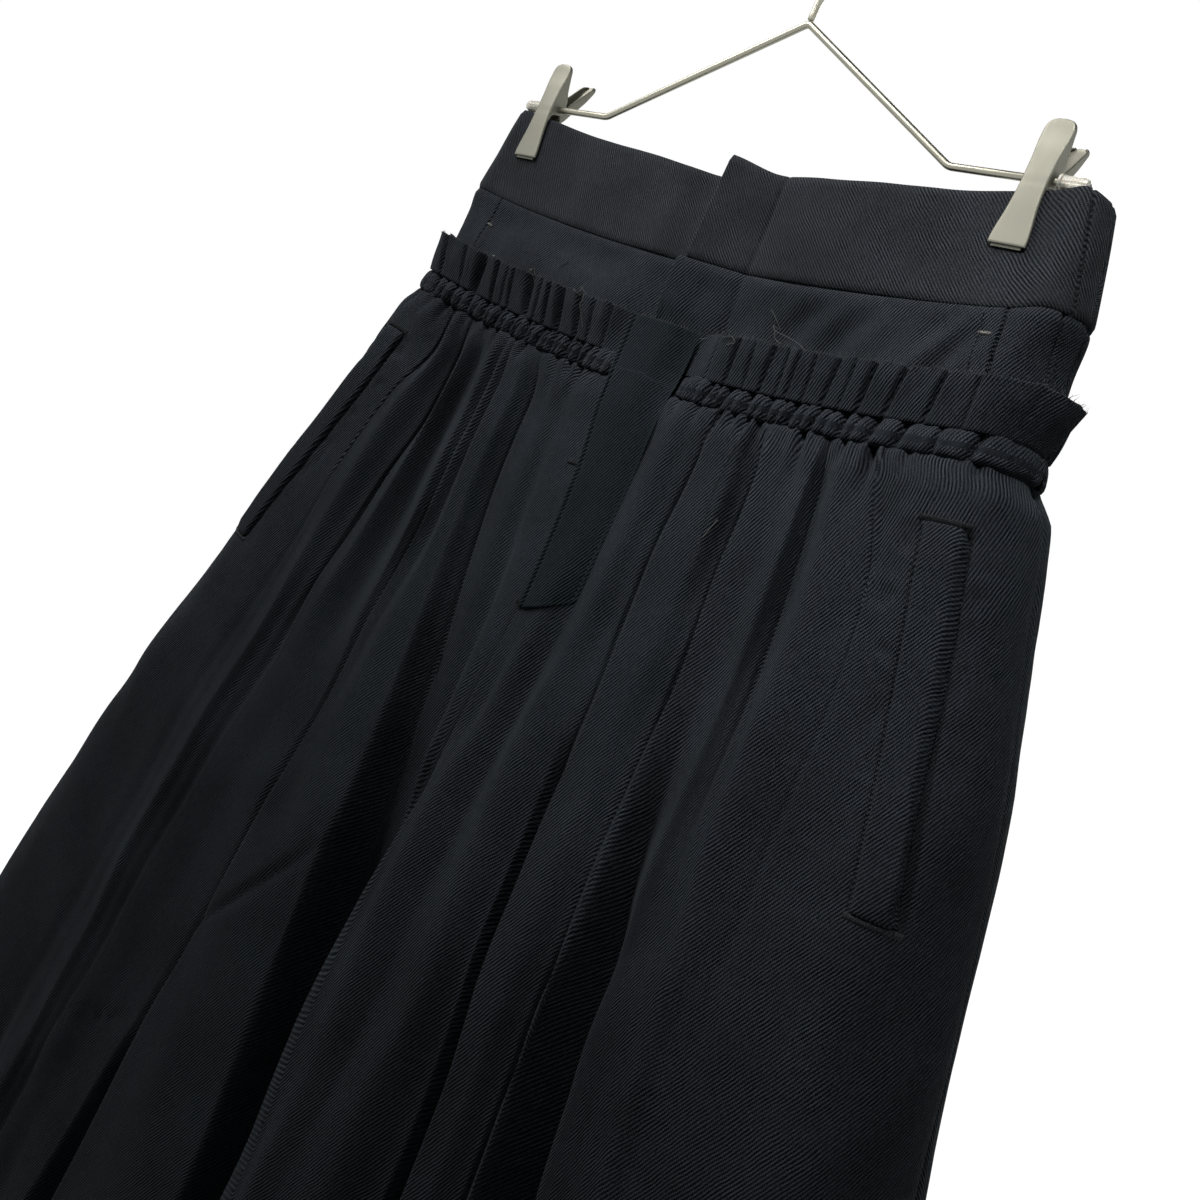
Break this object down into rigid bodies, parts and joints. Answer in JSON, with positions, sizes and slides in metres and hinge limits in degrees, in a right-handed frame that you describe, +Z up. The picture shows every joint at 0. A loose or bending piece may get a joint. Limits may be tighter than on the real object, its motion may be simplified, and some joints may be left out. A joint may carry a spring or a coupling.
{
  "type": "harem trousers on a wire clip hanger",
  "caption": "Wide gathered harem trousers with a doubled waist, frayed frill, elastic casing and pocket welts, held by the waistband on a wire hanger with spring clips.",
  "frame": {"origin": "inner top of the hanger's hook, where it rests on a rail", "axes": "+Z up along the hang of the trousers, front of the trousers towards -Y, +X to the right as seen from the front"},
  "size_m": [0.7224, 0.129, 1.1205],
  "materials": {
    "body_twill": "matte diagonal twill",
    "waistband_twill": "matte heavy steep twill",
    "satin_nickel": "satin nickel plate",
    "clear_roller": "slightly cloudy clear plastic"
  },
  "bodies": {
    "root": {"waistband_front_right": "waistband_twill", "waistband_front_left": "waistband_twill", "waistband_back": "waistband_twill", "yoke_front_right": "body_twill", "yoke_front_left": "body_twill", "yoke_back": "body_twill", "frill_front_right": "body_twill", "frill_front_left": "body_twill", "frill_back": "body_twill", "casing_front_right": "body_twill", "casing_front_left": "body_twill", "casing_back": "body_twill", "leg_front_right": "body_twill", "leg_front_left": "body_twill", "leg_back_right": "body_twill", "leg_back_left": "body_twill", "fly_placket": "body_twill", "pocket_welt_right": "body_twill", "pocket_welt_left": "body_twill", "hanger_wire": "satin_nickel", "hanger_hook": "satin_nickel", "clip_left_front": "satin_nickel", "clip_left_rear": "satin_nickel", "clip_left_liner": "satin_nickel", "clip_left_spring": "satin_nickel", "clip_right_front": "satin_nickel", "clip_right_rear": "satin_nickel", "clip_right_liner": "satin_nickel", "clip_right_spring": "satin_nickel", "hanger_roller_left": "clear_roller", "hanger_roller_right": "clear_roller"}
  },
  "joints": []
}
